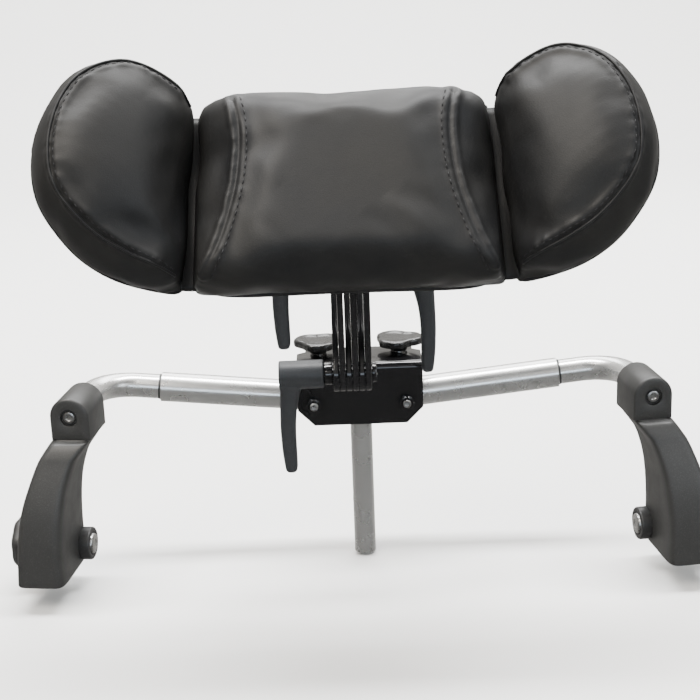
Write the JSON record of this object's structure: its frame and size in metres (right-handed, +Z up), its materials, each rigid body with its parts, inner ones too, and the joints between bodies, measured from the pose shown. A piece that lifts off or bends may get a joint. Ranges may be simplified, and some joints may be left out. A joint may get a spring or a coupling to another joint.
{
  "type": "chair headrest attachment",
  "caption": "Padded headrest with side wings on a clamp-lever linkage, a height-adjustable stem and a telescopic crossbar with moulded end arms for a chair's back tubes.",
  "frame": {"origin": "outer face of the bracket's rear plate, level with the middle of the crossbar's axis", "axes": "+Z up along the stem, +X along the crossbar towards the right of a person facing the pad, the pad faces -Y"},
  "size_m": [0.5154, 0.2193, 0.3826],
  "materials": {
    "aluminium": "satin",
    "arm_plastic": "satin, fine texture",
    "black_paint": "gloss",
    "black_plastic": "satin",
    "foam": "open cell foam",
    "gloss_plastic": "gloss",
    "leatherette": "coated fabric with a fine leather grain, satin",
    "lever_plastic": "fine matte texture",
    "plate_steel": "satin",
    "zinc": "bright zinc plate"
  },
  "bodies": {
    "bracket": {"bracket_body": "black_paint", "stem_guide": "black_paint", "crossbar_saddle": "black_paint", "crossbar_tube": "aluminium", "left_set_screw": "zinc", "right_set_screw": "zinc", "left_lock_nut": "black_paint", "right_lock_nut": "black_paint"},
    "left_shoe": {"left_clamp_shoe": "zinc"},
    "right_shoe": {"right_clamp_shoe": "zinc"},
    "left_knob": {"left_star_knob": "gloss_plastic", "left_stud": "zinc"},
    "right_knob": {"right_star_knob": "gloss_plastic", "right_stud": "zinc"},
    "left_end": {"left_end_tube": "aluminium", "left_arm": "arm_plastic", "left_arm_screw": "zinc", "left_pivot_ring": "black_plastic", "left_pivot_bolt": "zinc"},
    "right_end": {"right_end_tube": "aluminium", "right_arm": "arm_plastic", "right_arm_screw": "zinc", "right_pivot_ring": "black_plastic", "right_pivot_bolt": "zinc"},
    "left_hand_knob_turning": {"left_hand_knob": "arm_plastic"},
    "right_hand_knob_turning": {"right_hand_knob": "arm_plastic"},
    "stem": {"stem_rod": "aluminium", "stem_end_cap": "black_plastic", "stem_head": "black_paint", "stem_bolt": "zinc"},
    "lower_link": {"lower_link_plate_1": "black_paint", "lower_link_plate_2": "black_paint", "lower_link_plate_3": "black_paint"},
    "upper_link": {"upper_link_plate_1": "black_paint", "upper_link_plate_2": "black_paint", "upper_link_plate_3": "black_paint", "knee_bolt": "zinc", "pad_bolt": "zinc"},
    "stem_lever": {"stem_lever_insert": "black_paint", "stem_lever_screw": "zinc"},
    "stem_handle": {"stem_lever_handle": "lever_plastic"},
    "knee_lever": {"knee_lever_insert": "black_paint", "knee_lever_screw": "zinc"},
    "knee_handle": {"knee_lever_handle": "lever_plastic"},
    "pad_lever": {"pad_lever_insert": "black_paint", "pad_lever_screw": "zinc"},
    "pad_handle": {"pad_lever_handle": "lever_plastic"},
    "pad": {"center_cover": "leatherette", "center_foam": "foam", "center_back_plate": "plate_steel", "pad_fork": "black_paint", "left_wing_hinge_pin": "zinc", "right_wing_hinge_pin": "zinc"},
    "left_wing": {"left_wing_cover": "leatherette", "left_wing_foam": "foam", "left_wing_plate": "plate_steel"},
    "right_wing": {"right_wing_cover": "leatherette", "right_wing_foam": "foam", "right_wing_plate": "plate_steel"}
  },
  "joints": [
    {"name": "stem_height", "type": "slide", "parent": "bracket", "child": "stem", "axis": [0, 0, 1], "range_m": [-0.04, 0.08]},
    {"name": "left_telescope", "type": "slide", "parent": "bracket", "child": "left_end", "axis": [-0.9947, 0, 0.1027], "range_m": [-0.012, 0.03]},
    {"name": "right_telescope", "type": "slide", "parent": "bracket", "child": "right_end", "axis": [0.9947, 0, 0.1027], "range_m": [-0.012, 0.03]},
    {"name": "stem_link_tilt", "type": "hinge", "parent": "stem", "child": "lower_link", "pos_m": [-0.0052, -0.06, 0.104], "axis": [1, 0, 0], "range_deg": [-50, 10]},
    {"name": "knee_tilt", "type": "hinge", "parent": "lower_link", "child": "upper_link", "pos_m": [-0.0052, -0.095, 0.0445], "axis": [1, 0, 0], "range_deg": [-25, 30]},
    {"name": "pad_tilt", "type": "hinge", "parent": "upper_link", "child": "pad", "pos_m": [-0.0052, -0.117, 0.1415], "axis": [1, 0, 0], "range_deg": [-30, 25]},
    {"name": "left_wing_angle", "type": "hinge", "parent": "pad", "child": "left_wing", "pos_m": [-0.103, -0.138, 0.16953], "axis": [0, -0.454, -0.891], "range_deg": [-3, 20]},
    {"name": "right_wing_angle", "type": "hinge", "parent": "pad", "child": "right_wing", "pos_m": [0.093, -0.138, 0.16953], "axis": [0, 0.454, 0.891], "range_deg": [-3, 20]},
    {"name": "left_shoe_lift", "type": "slide", "parent": "bracket", "child": "left_shoe", "axis": [0, 0, 1], "range_m": [0, 0.00125]},
    {"name": "left_knob_turn", "type": "hinge", "parent": "left_shoe", "child": "left_knob", "pos_m": [-0.03, -0.0165, 0.045], "axis": [0, 0, 1], "range_deg": [0, 360]},
    {"name": "right_shoe_lift", "type": "slide", "parent": "bracket", "child": "right_shoe", "axis": [0, 0, 1], "range_m": [0, 0.00125]},
    {"name": "right_knob_turn", "type": "hinge", "parent": "right_shoe", "child": "right_knob", "pos_m": [0.03, -0.0165, 0.045], "axis": [0, 0, 1], "range_deg": [0, 360]},
    {"name": "stem_lever_turn", "type": "hinge", "parent": "stem", "child": "stem_lever", "pos_m": [-0.0052, -0.06, 0.104], "axis": [1, 0, 0], "range_deg": [-80, 0]},
    {"name": "stem_lever_lift", "type": "slide", "parent": "stem_lever", "child": "stem_handle", "axis": [1, 0, 0], "range_m": [0, 0.004]},
    {"name": "knee_lever_turn", "type": "hinge", "parent": "upper_link", "child": "knee_lever", "pos_m": [-0.0052, -0.095, 0.0445], "axis": [1, 0, 0], "range_deg": [-90, 30]},
    {"name": "knee_lever_lift", "type": "slide", "parent": "knee_lever", "child": "knee_handle", "axis": [-1, 0, 0], "range_m": [0, 0.004]},
    {"name": "pad_lever_turn", "type": "hinge", "parent": "upper_link", "child": "pad_lever", "pos_m": [-0.0052, -0.117, 0.1415], "axis": [1, 0, 0], "range_deg": [-35, 60]},
    {"name": "pad_lever_lift", "type": "slide", "parent": "pad_lever", "child": "pad_handle", "axis": [-1, 0, 0], "range_m": [0, 0.004]},
    {"name": "left_hand_knob_turn", "type": "hinge", "parent": "left_end", "child": "left_hand_knob_turning", "pos_m": [-0.2015, -0.0722, -0.08635], "axis": [-0.9914, 0.1305, 0], "range_deg": [0, 180]},
    {"name": "right_hand_knob_turn", "type": "hinge", "parent": "right_end", "child": "right_hand_knob_turning", "pos_m": [0.2015, -0.0722, -0.08635], "axis": [0.9914, 0.1305, 0], "range_deg": [0, 180]}
  ],
  "couplings": [
    {"joint": "left_knob_turn", "follows": "left_shoe_lift", "rad_per_m": 5026.5},
    {"joint": "right_knob_turn", "follows": "right_shoe_lift", "rad_per_m": 5026.5}
  ]
}
